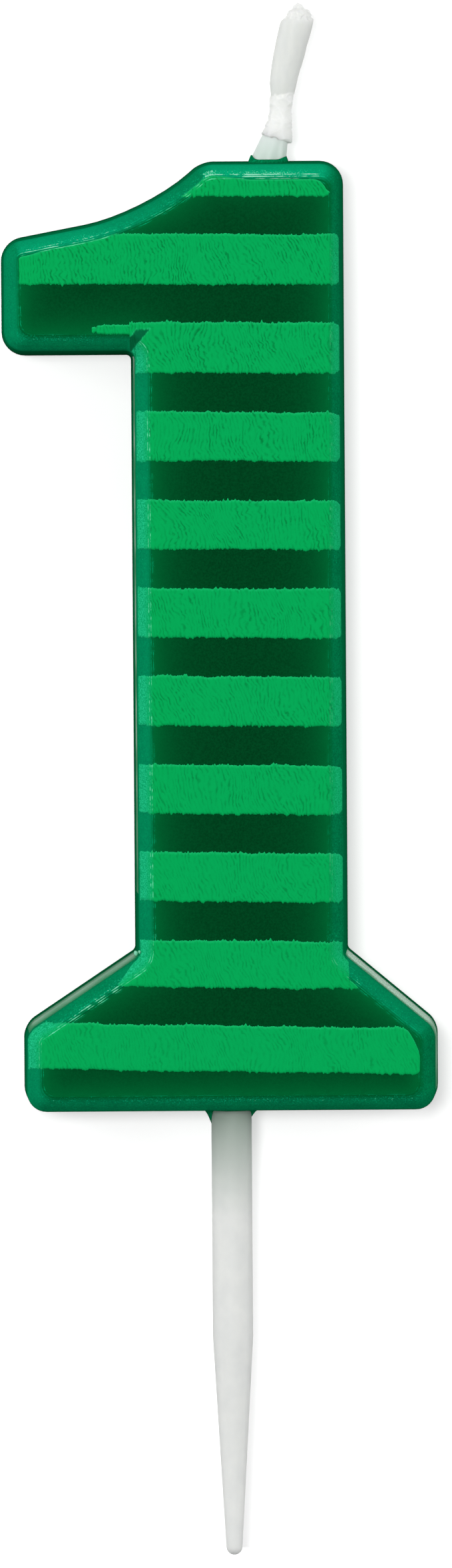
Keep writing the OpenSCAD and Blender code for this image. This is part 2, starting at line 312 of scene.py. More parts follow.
def paraffin_wax(name, shine):
    """Dyed paraffin cast in a mould: deep green where it is thick, lighter on the thin bevels, partly from
    the thin wax and partly as a painted sheen. The bevels carry the mould maker's tool lines, drawn with
    painted highlights on their crests and painted shade in their grooves, and frosted flecks with painted
    glints, and are painted lighter where they face up or left. The real flecks are half this size."""
    material, tree = new_material(name)
    place = add(tree, "ShaderNodeTexCoord", {}).outputs["Object"]
    inward, bloom_and_painted_light, frost_and_glint, tool_lines_light_and_shade, polish = [
        add(tree, "ShaderNodeAttribute", {}, attribute_name=measure).outputs["Fac"]
        for measure in WAX_MEASURES]
    cloud = add(tree, "ShaderNodeTexNoise",
                {"Vector": place, "Scale": per_mm(1.2), "Detail": 5.0}).outputs["Fac"]
    grain = add(tree, "ShaderNodeTexNoise",
                {"Vector": place, "Scale": per_mm(0.15), "Detail": 2.0}).outputs["Fac"]
    flecks = add(tree, "ShaderNodeTexNoise",
                 {"Vector": place, "Scale": per_mm(0.11), "Detail": 1.0}).outputs["Fac"]

    # The thick wax of the face, with a painted glow along its edge
    fade = add(tree, "ShaderNodeMath", {0: inward, 1: -1 / EDGE_GLOW}, operation="MULTIPLY").outputs[0]
    painted_edge_glow = add(tree, "ShaderNodeMath", {0: fade}, operation="EXPONENT", use_clamp=True).outputs[0]
    speck = add(tree, "ShaderNodeMapRange",
                {"Value": grain, "From Min": 0.3, "From Max": 0.7}).outputs[0]
    thick = add(tree, "ShaderNodeMix", {SHARE: speck, UNDER: paint("#013819"), OVER: paint("#024621")},
                data_type="RGBA").outputs[MIXED]
    face = add(tree, "ShaderNodeMix", {SHARE: painted_edge_glow, UNDER: thick, OVER: paint("#016331")},
               data_type="RGBA").outputs[MIXED]

    # The cloudy wax of the bevel, lighter than the face partly from the thin wax and partly as a painted
    # sheen, and the walls, which darken towards the back
    mottle = add(tree, "ShaderNodeMath", {0: cloud, 1: speck}, operation="ADD").outputs[0]
    mixed = add(tree, "ShaderNodeMapRange",
                {"Value": mottle, "From Min": 0.5, "From Max": 1.5}).outputs[0]
    bevel = add(tree, "ShaderNodeMix", {SHARE: mixed, UNDER: paint("#01643C"), OVER: paint("#027A49")},
                data_type="RGBA").outputs[MIXED]
    off_face = add(tree, "ShaderNodeMapRange", {"Value": inward, "From Min": 0.0, "From Max": -0.5},
                   interpolation_type="SMOOTHSTEP").outputs[0]
    front = add(tree, "ShaderNodeMix", {SHARE: off_face, UNDER: face, OVER: bevel},
                data_type="RGBA").outputs[MIXED]
    on_wall = add(tree, "ShaderNodeMapRange",
                  {"Value": inward, "From Min": -5.0, "From Max": -10.0}).outputs[0]
    body = add(tree, "ShaderNodeMix", {SHARE: on_wall, UNDER: front, OVER: thick},
               data_type="RGBA").outputs[MIXED]

    # Painted shade in the tool grooves, under the painted light of bevels that face up or left and the bloom
    # on the back; pale flecks and painted highlights on the tool-line crests over it, and a painted glint on
    # the palest
    streaks = tool_lines(tree, place, inward)
    groove = add(tree, "ShaderNodeMapRange",
                 {"Value": streaks, "From Min": 1.3, "From Max": 0.8}).outputs[0]
    dark = add(tree, "ShaderNodeMath", {0: groove, 1: tool_lines_light_and_shade}, operation="MULTIPLY").outputs[0]
    crest = add(tree, "ShaderNodeMapRange",
                {"Value": streaks, "From Min": 2.6, "From Max": 3.2}).outputs[0]
    ridge_highlight = add(tree, "ShaderNodeMath", {0: crest, 1: tool_lines_light_and_shade}, operation="MULTIPLY").outputs[0]
    level = add(tree, "ShaderNodeMath", {0: frost_and_glint, 1: 0.3, 2: flecks}, operation="MULTIPLY_ADD").outputs[0]
    fleck = add(tree, "ShaderNodeMapRange",
                {"Value": level, "From Min": 0.58, "From Max": 0.92}).outputs[0]
    pale = add(tree, "ShaderNodeMath", {0: ridge_highlight, 1: fleck}, operation="ADD", use_clamp=True).outputs[0]
    glint = add(tree, "ShaderNodeMapRange", {"Value": pale, "From Min": 0.6, "To Max": 0.5}).outputs[0]
    colour = body
    for layer, shade in [(dark, "#014A29"), (bloom_and_painted_light, "#0CC48C"), (pale, "#08BE86"), (glint, "#B9EAD8")]:
        colour = add(tree, "ShaderNodeMix", {SHARE: layer, UNDER: colour, OVER: paint(shade)},
                     data_type="RGBA").outputs[MIXED]

    sheen = add(tree, "ShaderNodeMapRange", {"Value": polish, "To Min": 1.0, "To Max": 0.25}).outputs[0]
    bump = add(tree, "ShaderNodeBump",
               {"Height": grain, "Strength": 0.4, "Distance": 0.03 * MM}).outputs[0]
    shader = add(tree, "ShaderNodeBsdfPrincipled", {
        "Base Color": colour, "Roughness": sheen, "Normal": bump,
        "IOR": 1.43, "Specular IOR Level": shine, "Specular Tint": paint("#FFEDBE")})
    add(tree, "ShaderNodeOutputMaterial", {"Surface": shader.outputs[0]})
    return material


def stripe_lacquer():
    """Brushed wax lacquer: an opaque mid green with short leaning brush strokes, deeper in patches and
    towards the top, with a painted highlight along its upper edge. Over the bevels it is thinner and bluer,
    and lighter on the left as painted light, and the flecks and tool lines of the wax show through it, the
    lines as painted highlights."""
    material, tree = new_material("brushed_lacquer")
    place = add(tree, "ShaderNodeTexCoord", {}).outputs["Object"]
    thin, painted_brim_highlight, inward, tool_lines_light_and_shade, bare = [
        add(tree, "ShaderNodeAttribute", {}, attribute_name=measure).outputs["Fac"]
        for measure in FILM_MEASURES]

    # Brush strokes that lean and sweep about, broken up into dashes
    sweep = add(tree, "ShaderNodeTexNoise",
                {"Vector": place, "Scale": per_mm(4.0), "Detail": 0.0}).outputs["Color"]
    swept = add(tree, "ShaderNodeVectorMath", {0: sweep, 1: (2.4 * MM, 2.4 * MM, 2.4 * MM), 2: place},
                operation="MULTIPLY_ADD").outputs[0]
    leaning = add(tree, "ShaderNodeMapping", {"Vector": swept, "Rotation": (0.0, 0.3, 0.0)}).outputs[0]
    hatch = add(tree, "ShaderNodeTexWave", {
        "Vector": leaning, "Scale": per_mm(0.31) * WAVE_PERIOD, "Distortion": 7.0, "Detail": 2.0,
        "Detail Scale": 1.3}).outputs["Fac"]
    drawn_out = add(tree, "ShaderNodeMapping", {"Vector": place, "Scale": (1.0, 1.0, 0.6)}).outputs[0]
    gaps = add(tree, "ShaderNodeTexNoise",
               {"Vector": drawn_out, "Scale": per_mm(0.32), "Detail": 2.0}).outputs["Fac"]
    stroke = add(tree, "ShaderNodeMapRange",
                 {"Value": hatch, "From Min": 0.6, "From Max": 0.0}).outputs[0]
    dash = add(tree, "ShaderNodeMapRange",
               {"Value": gaps, "From Min": 0.37, "From Max": 0.58}).outputs[0]
    dashes = add(tree, "ShaderNodeMath", {0: stroke, 1: dash}, operation="MULTIPLY").outputs[0]

    # They are stronger in patches, and weaker on the lower stripes
    patches = add(tree, "ShaderNodeTexNoise",
                  {"Vector": place, "Scale": per_mm(1.6), "Detail": 2.0}).outputs["Fac"]
    patch = add(tree, "ShaderNodeMapRange",
                {"Value": patches, "From Min": 0.38, "From Max": 0.62, "To Min": 0.25}).outputs[0]
    height = add(tree, "ShaderNodeSeparateXYZ", {"Vector": place}).outputs["Z"]
    worked = add(tree, "ShaderNodeMapRange",
                 {"Value": height, "From Min": 5.0 * MM, "From Max": 60.0 * MM, "To Min": 0.55}).outputs[0]
    uneven = add(tree, "ShaderNodeMath", {0: patch, 1: worked}, operation="MULTIPLY").outputs[0]
    dark = add(tree, "ShaderNodeMath", {0: dashes, 1: uneven}, operation="MULTIPLY").outputs[0]
    full = add(tree, "ShaderNodeMix", {SHARE: dark, UNDER: paint("#02A554"), OVER: paint("#017B3B")},
               data_type="RGBA").outputs[MIXED]
    # A bright brim along the upper edge, a painted highlight
    edged = add(tree, "ShaderNodeMix", {SHARE: painted_brim_highlight, UNDER: full, OVER: paint("#1CB870")},
                data_type="RGBA").outputs[MIXED]

    # The thin film over the bevels, which also carries painted light, painted highlights on the tool-line
    # ridges, and the place that the brush missed
    flecks = add(tree, "ShaderNodeTexNoise",
                 {"Vector": place, "Scale": per_mm(0.12), "Detail": 1.0}).outputs["Fac"]
    fleck = add(tree, "ShaderNodeMapRange",
                {"Value": flecks, "From Min": 0.35, "From Max": 0.72}).outputs[0]
    film = add(tree, "ShaderNodeMix", {SHARE: fleck, UNDER: paint("#049A60"), OVER: paint("#22C48A")},
               data_type="RGBA").outputs[MIXED]
    colour = add(tree, "ShaderNodeMix", {SHARE: thin, UNDER: edged, OVER: film},
                 data_type="RGBA").outputs[MIXED]
    streaks = tool_lines(tree, place, inward)
    crest = add(tree, "ShaderNodeMapRange",
                {"Value": streaks, "From Min": 2.8, "From Max": 3.4}).outputs[0]
    ridge_highlight = add(tree, "ShaderNodeMath", {0: crest, 1: tool_lines_light_and_shade}, operation="MULTIPLY").outputs[0]
    for layer, shade in [(ridge_highlight, "#66D8AA"), (bare, "#01623A")]:
        colour = add(tree, "ShaderNodeMix", {SHARE: layer, UNDER: colour, OVER: paint(shade)},
                     data_type="RGBA").outputs[MIXED]

    bump = add(tree, "ShaderNodeBump",
               {"Height": dark, "Strength": 0.5, "Distance": -0.03 * MM}).outputs[0]
    shader = add(tree, "ShaderNodeBsdfPrincipled", {
        "Base Color": colour, "Roughness": 0.8, "Normal": bump, "IOR": 1.46, "Specular IOR Level": 0.03})
    add(tree, "ShaderNodeOutputMaterial", {"Surface": shader.outputs[0]})
    return material


def primed_cotton():
    """Cotton soaked in white wax: a milky, slightly translucent sleeve with faint lengthwise threads,
    and whiter where the wax has cracked into flakes."""
    material, tree = new_material("primed_cotton")
    place = add(tree, "ShaderNodeTexCoord", {}).outputs["Object"]
    flaky = add(tree, "ShaderNodeAttribute", {}, attribute_name="flaky").outputs["Fac"]
    along = add(tree, "ShaderNodeMapping", {"Vector": place, "Scale": (1.0, 1.0, 0.2)}).outputs[0]
    threads = add(tree, "ShaderNodeTexNoise",
                  {"Vector": along, "Scale": per_mm(0.5), "Detail": 3.0}).outputs["Fac"]
    sleeve = add(tree, "ShaderNodeMix", {SHARE: threads, UNDER: paint("#CFD2D1"), OVER: paint("#DDDEDA")},
                 data_type="RGBA").outputs[MIXED]
    colour = add(tree, "ShaderNodeMix", {SHARE: flaky, UNDER: sleeve, OVER: paint("#E6E7E5")},
                 data_type="RGBA").outputs[MIXED]
    bump = add(tree, "ShaderNodeBump",
               {"Height": threads, "Strength": 0.25, "Distance": 0.05 * MM}).outputs[0]
    shader = add(tree, "ShaderNodeBsdfPrincipled", {
        "Base Color": colour, "Roughness": 0.5, "Normal": bump, "IOR": 1.43, "Specular IOR Level": 0.3,
        "Subsurface Weight": 0.9, "Subsurface Radius": (1.0, 1.0, 0.95), "Subsurface Scale": 2.0 * MM})
    add(tree, "ShaderNodeOutputMaterial", {"Surface": shader.outputs[0]})
    return material


def priming_wax():
    """Clear priming wax drawn up round the wick: pale, tinted green from the wax that it meets."""
    material, tree = new_material("priming_wax")
    place = add(tree, "ShaderNodeTexCoord", {}).outputs["Object"]
    height = add(tree, "ShaderNodeSeparateXYZ", {"Vector": place}).outputs["Z"]
    rise = add(tree, "ShaderNodeMapRange",
               {"Value": height, "From Min": (TOP + 0.1) * MM, "From Max": (TOP + 1.8) * MM}).outputs[0]
    colour = add(tree, "ShaderNodeMix", {SHARE: rise, UNDER: paint("#C0CFC7"), OVER: paint("#D4DDD9")},
                 data_type="RGBA").outputs[MIXED]
    ripple = add(tree, "ShaderNodeTexNoise",
                 {"Vector": place, "Scale": per_mm(0.8), "Detail": 2.0}).outputs["Fac"]
    bump = add(tree, "ShaderNodeBump",
               {"Height": ripple, "Strength": 0.2, "Distance": 0.05 * MM}).outputs[0]
    shader = add(tree, "ShaderNodeBsdfPrincipled", {
        "Base Color": colour, "Roughness": 0.35, "Normal": bump, "IOR": 1.43,
        "Subsurface Weight": 0.4, "Subsurface Radius": (0.8, 1.0, 0.9), "Subsurface Scale": 0.8 * MM})
    add(tree, "ShaderNodeOutputMaterial", {"Surface": shader.outputs[0]})
    return material


def pick_plastic():
    """Moulded polypropylene: milky, turning darker and greener near the wax, which paints in the shade and
    the green reflection of the wax there.
    """
    material, tree = new_material("moulded_polypropylene")
    place = add(tree, "ShaderNodeTexCoord", {}).outputs["Object"]
    height = add(tree, "ShaderNodeSeparateXYZ", {"Vector": place}).outputs["Z"]
    # Painted shade and green reflection from the wax, darkening the plastic near it
    painted_shade_near_wax = add(tree, "ShaderNodeMapRange",
                   {"Value": height, "From Min": -8.0 * MM, "From Max": 0.3 * MM}).outputs[0]
    streak = add(tree, "ShaderNodeTexNoise",
                 {"Vector": place, "Scale": per_mm(1.5), "Detail": 2.0}).outputs["Fac"]
    milk = add(tree, "ShaderNodeMix", {SHARE: streak, UNDER: paint("#D8DAD9"), OVER: paint("#E6E7E4")},
               data_type="RGBA").outputs[MIXED]
    colour = add(tree, "ShaderNodeMix", {SHARE: painted_shade_near_wax, UNDER: milk, OVER: paint("#A2B0A6")},
                 data_type="RGBA").outputs[MIXED]
    bump = add(tree, "ShaderNodeBump",
               {"Height": streak, "Strength": 0.1, "Distance": 0.05 * MM}).outputs[0]
    shader = add(tree, "ShaderNodeBsdfPrincipled", {
        "Base Color": colour, "Roughness": 0.6, "Normal": bump, "IOR": 1.49, "Specular IOR Level": 0.3,
        "Subsurface Weight": 0.8, "Subsurface Radius": (1.0, 1.0, 1.0), "Subsurface Scale": 1.5 * MM})
    add(tree, "ShaderNodeOutputMaterial", {"Surface": shader.outputs[0]})
    return material


def new_measures(bm, names):
    """Gives a shape's vertices the measures that its finish reads."""
    for name in names:
        bm.verts.layers.float.new(name)
    return [bm.verts.layers.float[name] for name in names]


def finish_piece(bm, name, materials, slot, *nodes):
    """Closes, scales and links a modelled shape, and hides the solids that it stands for."""
    bmesh.ops.remove_doubles(bm, verts=bm.verts, dist=TINY)
    bmesh.ops.recalc_face_normals(bm, faces=bm.faces)
    bm.transform(Matrix.Scale(MM, 4))
    mesh = bpy.data.meshes.new(name)
    bm.to_mesh(mesh)
    bm.free()
    mesh.shade_smooth()
    for material in materials:
        mesh.materials.append(material)
    piece = bpy.data.objects.new(name, mesh)
    bpy.context.scene.collection.objects.link(piece)
    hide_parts(*nodes)
    return piece


def spin_profile(bm, profile, centre, steps, ring=False):
    """Turns a profile of (radius, height) points about an upright axis, and gives back its vertices.
    The profile of a ring closes on itself."""
    before = set(bm.verts)
    points = [bm.verts.new((centre.x + radius, centre.y, height)) for radius, height in profile]
    pairs = list(zip(points, points[1:]))
    if ring:
        pairs.append((points[-1], points[0]))
    edges = [bm.edges.new(pair) for pair in pairs]
    bmesh.ops.spin(bm, geom=points + edges, cent=centre, axis=UP, angle=math.tau, steps=steps,
                   use_merge=True)
    return [vert for vert in bm.verts if vert not in before]


def numeral_outline(bm):
    """The figure 1 as one flat face at the back, with its corners rounded and its sides divided."""
    meet_x = (BODY_H - FLAG_TOP - CREST_X * CREST_RISE + FLAG_LEFT * FLAG_RISE) / (FLAG_RISE - CREST_RISE)
    meet_z = FLAG_TOP + (meet_x - FLAG_LEFT) * FLAG_RISE
    corners = [
        (-FOOT_HALF, 0, CORNER_R), (FOOT_HALF, 0, CORNER_R), (FOOT_HALF, FOOT_H, CORNER_R),
        (STEM_RIGHT, SHOULDER_H, NOTCH_R), (STEM_RIGHT, BODY_H, CORNER_R), (CREST_X, BODY_H, CREST_R),
        (meet_x, meet_z, SWEEP_R), (FLAG_LEFT, FLAG_TOP, CORNER_R), (FLAG_LEFT, FLAG_UNDER, CORNER_R),
        (STEM_LEFT, FLAG_UNDER, ARMPIT_R), (STEM_LEFT, SHOULDER_H, NOTCH_R), (-FOOT_HALF, FOOT_H, CORNER_R),
    ]
    verts = [bm.verts.new((x, BACK - BACK_EDGE, UNDERSIDE + z)) for x, z, radius in corners]
    bm.faces.new(verts)
    for vert, (x, z, radius) in zip(verts, corners):
        reach = radius * math.tan(vert.calc_edge_angle() / 2)
        bmesh.ops.bevel(bm, geom=[vert], offset=reach, offset_type="OFFSET", affect="VERTICES",
                        segments=8, profile=0.5, material=-1)
    for edge in list(bm.edges):
        cuts = int(edge.calc_length() / SIDE_STEP)
        if cuts:
            bmesh.ops.subdivide_edges(bm, edges=[edge], cuts=cuts)
    bm.faces.ensure_lookup_table()
    face = bm.faces[0]
    face.normal_update()
    if face.normal.y > 0:
        face.normal_flip()
    return face


def step_in(bm, face, inset, rise):
    """Insets a face and pushes it out, and gives back the edges round it."""
    bmesh.ops.inset_region(bm, faces=[face], thickness=inset, depth=rise, use_even_offset=True,
                           use_boundary=True)
    return list(face.edges)


def round_inner_corners(bm):
    """Keeps the square corners of the bevel's inner lines at one radius, where the insets would sharpen
    them. The sides next to a corner come in with it, and run out over a few times that length."""
    side = 4.0
    run_out = 3
    for corner_x, corner_z, right, above in [
            (-FOOT_HALF, 0, -1, -1), (FOOT_HALF, 0, 1, -1), (STEM_RIGHT, BODY_H, 1, 1),
            (FLAG_LEFT, FLAG_UNDER, -1, -1)]:
        centre_x = corner_x - CORNER_R * right
        centre_z = UNDERSIDE + corner_z - CORNER_R * above
        for vert in bm.verts:
            across = (vert.co.x - centre_x) * right
            along = (vert.co.z - centre_z) * above
            if min(across, along) <= -side or not 0.01 <= max(across, along) < INNER_R:
                continue
            radius = math.hypot(max(across, 0), max(along, 0))
            missing = max(INNER_R - radius, 0)
            if across > 0 and along > 0:
                across -= missing * (1 - across / radius)
                along -= missing * (1 - along / radius)
            elif across > 0:
                along -= max(missing + along / run_out, 0)
            else:
                across -= max(missing + across / run_out, 0)
            vert.co.x = centre_x + across * right
            vert.co.z = centre_z + along * above


def narrow_right_bevel(bm):
    """Cuts the bevel on the stem's right narrower towards the top."""
    for vert in bm.verts:
        depth = vert.co.y - FRONT
        rise = (vert.co.z - UNDERSIDE - SHOULDER_H) / (BODY_H - SHOULDER_H)
        if depth < BEVEL and rise > 0:
            beside = clamp((vert.co.x - STEM_RIGHT + 4) / 2)
            vert.co.x += RIGHT_CUT * rise * beside * (1 - depth / BEVEL)


def edge_tree(face):
    """The corners of a face, for finding how far a place lies from its edge."""
    tree = KDTree(len(face.verts))
    for number, vert in enumerate(face.verts):
        tree.insert(vert.co, number)
    tree.balance()
    return tree


def divide(bm, face, spacing, lowest):
    """Cuts a flat face into squares, from the flag to the foot's right and from the lowest height up."""
    cuts = [((across, 0, 0), (1, 0, 0))
            for across in range(math.ceil(FLAG_LEFT), math.ceil(FOOT_HALF), spacing)]
    cuts += [((0, 0, height), UP) for height in range(lowest, math.ceil(TOP), spacing)]
    part = [face, *face.edges, *face.verts]
    for place, direction in cuts:
        part = bmesh.ops.bisect_plane(bm, geom=part, plane_co=place, plane_no=direction)["geom"]
    bm.normal_update()


def wall_sheen(place, up, left, depth):
    """How smooth a wall came out of the mould: the shoulders, the foot's right side and the stem's left
    side are smoother than the rest, in a band between the bevel and the back."""
    sloping = 0.4
    upright = 0.9
    height = place.z - UNDERSIDE
    worn = clamp(0.75 + 0.8 * wobble(place, 2.5, 8))
    if height < SHOULDER_H + NOTCH_R and (up > sloping or place.x > FOOT_HALF - 1):
        turned = clamp((height - CORNER_R) / 2) if place.x > 0 else clamp((up - sloping) / 0.35)
        return turned * min(worn + 0.3, 1) * near(depth, *SHOULDER_SHEEN)
    if left > upright and SHOULDER_H + 5 < height < FLAG_UNDER:
        return worn * near(depth, *STEM_SHEEN)
    return 0


def mark_wax(bm, face_edge, back_edge):
    """Writes what the wax's finish reads: how far a place lies in from the edge of the face or back, or
    behind the face, and how much painted light and bloom, flecks with painted glints, tool lines drawn with
    painted highlight and shade, and polish it has."""
    inward, bloom_and_painted_light, frost_and_glint, tool_lines_light_and_shade, polish = new_measures(bm, WAX_MEASURES)
    for vert in bm.verts:
        depth = vert.co.y - FRONT
        if depth < TINY:
            vert[inward] = FACE_START + face_edge.find(vert.co)[2]
            vert[frost_and_glint] = -1
            continue
        if vert.co.y > BACK - TINY:
            vert[inward] = FACE_START + back_edge.find(vert.co)[2]
            vert[frost_and_glint] = -1
            vert[bloom_and_painted_light] = 0.05 * max(wobble(vert.co, 9, 3) + 0.4, 0)
            continue
        vert[inward] = -depth
        faces = vert.normal.xz.normalized()
        up, down, left = max(faces.y, 0), max(-faces.y, 0), max(-faces.x, 0)
        if depth > BEVEL + 0.2:
            vert[polish] = wall_sheen(vert.co, up, left, depth)
            vert[frost_and_glint] = -0.35
            continue

        # Painted light: the bevel is made lightest where it looks up or left, towards the lamps, and a
        # little where it looks down, short of its inner line
        painted_light = max(0.4 * up ** 4 - 0.35 * up * left, 0) + 0.15 * left + 0.07 * down
        vert[bloom_and_painted_light] = painted_light * min(depth / 0.3, 1)

        # Flecks lie along the middle of the bevel on top, in the notches of the shoulders and below. They
        # are partly real grain and partly painted highlights and glints, thickest on top where the light
        # falls
        notched = max(near((vert.co - notch).length, 0, NOTCH_REACH) for notch in NOTCHES)
        patchy = min(max(0.75 + 1.1 * wobble(vert.co, 5, 6), 0.3), 1)
        upper = 0.85 * up ** 5 * patchy + 0.25 * up + 0.5 * notched
        vert[frost_and_glint] = upper * near(depth, *UPPER_FROST) - 0.25
        vert[frost_and_glint] += 0.6 * down * patchy * near(depth, *LOWER_FROST)
        if up > 0.9 and near(vert.co.x, CHIP_X, CHIP_HALF) > 0 and near(depth, *CREST_CHIP) > 0:
            vert[frost_and_glint] = 1

        # Tool lines lie next to the face, drawn as painted highlights on their crests and painted shade in
        # their grooves, strongest on top and on the left where the light falls
        lined = min(max(0.2 + 0.4 * up - depth, 0) / 0.15, 1)
        drawn = 0.2 + (0.2 * up + 1.5 * up ** 8) * patchy + 0.35 * left + 0.4 * notched
        vert[tool_lines_light_and_shade] = min(drawn, 1.8) * lined
    for plain in bm.faces:
        plain.material_index = int(all(vert[polish] > 0 for vert in plain.verts))


def moulded_numeral():
    """The wax: drafted walls, a broad bevel with the mould maker's tool lines, and a flat front face."""
    bm = bmesh.new()
    face = numeral_outline(bm)
    wall = BACK - BACK_EDGE - FRONT - BEVEL
    for step in range(WALL_STEPS):
        brow = step_in(bm, face, DRAFT_INSET / WALL_STEPS, wall / WALL_STEPS)
    for inset, rise in BEVEL_STEPS:
        step_in(bm, face, inset, rise)
    bmesh.ops.translate(bm, verts=face.verts, vec=(0, FRONT - face.verts[0].co.y, 0))
    round_inner_corners(bm)
    narrow_right_bevel(bm)

    rim = [edge for edge in bm.edges if edge.is_boundary]
    back = bmesh.ops.edgeloop_fill(bm, edges=rim)["faces"]
    bmesh.ops.recalc_face_normals(bm, faces=bm.faces)
    back_rim = step_in(bm, back[0], BACK_EDGE, BACK_EDGE)
    for edges, radius, segments in [(brow, BROW_R, 4), (back_rim, BACK_R, 2)]:
        bmesh.ops.bevel(bm, geom=edges, offset=radius, offset_type="OFFSET", affect="EDGES",
                        segments=segments, profile=0.5, material=-1, clamp_overlap=True)

    face_edge = edge_tree(face)
    divide(bm, face, 1, 3)
    looking_back = [plain for plain in bm.faces if plain.normal.y > 0.9]
    back = max(looking_back, key=lambda plain: plain.calc_area())
    back_edge = edge_tree(back)
    divide(bm, back, 2, 2)
    mark_wax(bm, face_edge, back_edge)
    return bm


def add_wax_lips(bm):
    """The small rims of wax that froze round the wick and the pick, and two beads in the corner of the left
    shoulder, which carry a painted glint."""
    inward = bm.verts.layers.float["inward"]
    frost_and_glint = bm.verts.layers.float["frost_and_glint"]
    rim = [(radius, TOP + height) for radius, height in WICK_LIP]
    for vert in spin_profile(bm, rim, Vector((WICK_LIP_X, 0, 0)), LIP_ROUND, ring=True):
        vert[inward] = LIP_INWARD
        right = math.cos(math.atan2(vert.co.y, vert.co.x - WICK_LIP_X))
        share = 0.06 + 0.9 * right ** 6 + 0.1 * right ** 3 + 0.06 * wobble(vert.co, 0.7)
        if vert.co.z > TOP:
            vert.co.z = TOP + (vert.co.z - TOP) * share
    for vert in spin_profile(bm, PICK_LIP, ORIGIN, LIP_ROUND, ring=True):
        vert[inward] = LIP_INWARD
        right = math.cos(math.atan2(vert.co.y, vert.co.x))
        share = (0.8 - 0.25 * right) * right ** 26 + 0.06 * wobble(vert.co, 0.8)
        if vert.co.z < PICK_LIP_ROOT:
            vert.co.z = PICK_LIP_ROOT + (vert.co.z - PICK_LIP_ROOT) * share
    for x, depth, z, wide, thick, tall in [
            (-7.92, 1.15, 14.4, 0.17, 0.15, 0.2), (-7.62, 1.1, 14.5, 0.1, 0.12, 0.14)]:
        for vert in bmesh.ops.create_icosphere(bm, subdivisions=3, radius=1)["verts"]:
            vert[inward] = LIP_INWARD
            # The beads are fully frosted, which paints a glint on them
            vert[frost_and_glint] = 2
            shape = 1 + 0.2 * wobble(vert.co, 0.9, 4)
            vert.co = (x + vert.co.x * wide * shape, FRONT + depth + vert.co.y * thick * shape,
                       z + vert.co.z * tall * shape)


def missed_corner(x, z):
    """How far a place lies inside the patch of bevel that the brush missed, in the flag's inner corner. Two
    slanting lines and a level one bound it. A slanting line has a slope, a point that it goes through, and
    the share that turns a height over it into a distance."""
    foot = UNDERSIDE + FLAG_UNDER + 0.53
    tall = 1.62
    right_slope, right_x, right_share = 1.2, -7.72, 0.64
    left_slope, left_x, left_share = 1.12, -8.05, 0.67
    right = right_share * (z - foot - right_slope * (x - right_x))
    left = left_share * (foot + 1 - z + left_slope * (x - left_x))
    ragged = 0.1 * wobble((x, 0, z), 0.3)
    return min(right, left, foot + tall - z) + ragged


def bevel_reach(number, x):
    """How far back over the bevel a stripe goes: right over it at the stem, hardly at all elsewhere."""
    beside = max(STEM_LEFT - x, x - STEM_RIGHT, 0)
    if number == TOP_STRIPE:
        return BRINK + 0.35 * clamp((CREST_X + 4 - x) / 3)
    if number == FLAG_STRIPE and x < CREST_X:
        return BRINK + 0.16 * clamp((x - FLAG_LEFT - 2.5) / 2)
    if number == TIPPED_STRIPE and beside > 0:
        return 0.3
    if number == SHOULDER_STRIPE and x < 0:
        return max(1.3 - 0.65 * beside, BRINK)
    if number == SHOULDER_STRIPE:
        return BRINK if beside > 0 else 1.2
    if number == FOOT_STRIPE and x > 0:
        return BRINK
    return WHOLE_BEVEL


def wax_depth(wax, x, z):
    """How far the wax lies behind the face, at a place seen from the front."""
    spot = wax.ray_cast(Vector((x, FEELER_START, z)), Vector((0, 1, 0)))[0]
    return spot.y - FRONT if spot else NO_WAX


def last_inside(wax, x, inner, outer, reach):
    """Where a stripe ends between a height that it covers and one past its reach."""
    for halving in range(6):
        middle = (inner + outer) / 2
        if wax_depth(wax, x, middle) < reach:
            inner = middle
        else:
            outer = middle
    return inner


def ragged_edges(number, x):
    """The lower and upper edge of a stripe: each leans and wanders, and bristles drag it out in places."""
    start = UNDERSIDE + STRIPE_START + STRIPE_PITCH * (number - 1)
    low = start + LOWER_SHIFT.get(number, 0)
    high = start + STRIPE_H + UPPER_SHIFT.get(number, 0)
    lean = (-0.02 + 0.0013 * (number - 1)) * (x - 1)
    lower = low + lean + 0.1 * wobble((x, 0, 0), 3, number) + 0.05 * wobble((x, 0, 0), 0.6, number)
    lower -= 0.18 * abs(wobble((x, 0, 9), 0.14, number)) + 0.2 * max(wobble((x, 0, 9), 0.3, number), 0)
    upper = high + lean + 0.12 * wobble((x, 5, 0), 3, number) + 0.06 * wobble((x, 5, 0), 0.6, number)
    dragged = max(wobble((x, 5, 9), 0.2, number), 0) ** 1.5
    upper += 0.18 * abs(wobble((x, 5, 9), 0.14, number)) + 0.3 * dragged
    if number == TIPPED_STRIPE and x < STEM_LEFT:
        spread = 0.1 + 0.29 * math.sqrt(clamp((x - TIP_X) / 1.1))
        over = 0.14 * wobble((x, 2, 0), 0.25) + 0.1 * wobble((x, 2, 0), 0.1)
        under = 0.14 * wobble((x, 4, 0), 0.25) + 0.1 * wobble((x, 4, 0), 0.1)
        upper = min(upper, TIP_UPPER + spread + over)
        lower = max(lower, TIP_LOWER - spread + under)
    return lower, upper


def corner_fall(x, end, radius):
    """How far a rounded corner has fallen away at a place, where the stripe ends here."""
    past = max(x - (end - radius), 0) / radius
    return radius * (1 - math.sqrt(max(1 - past * past, 0)))


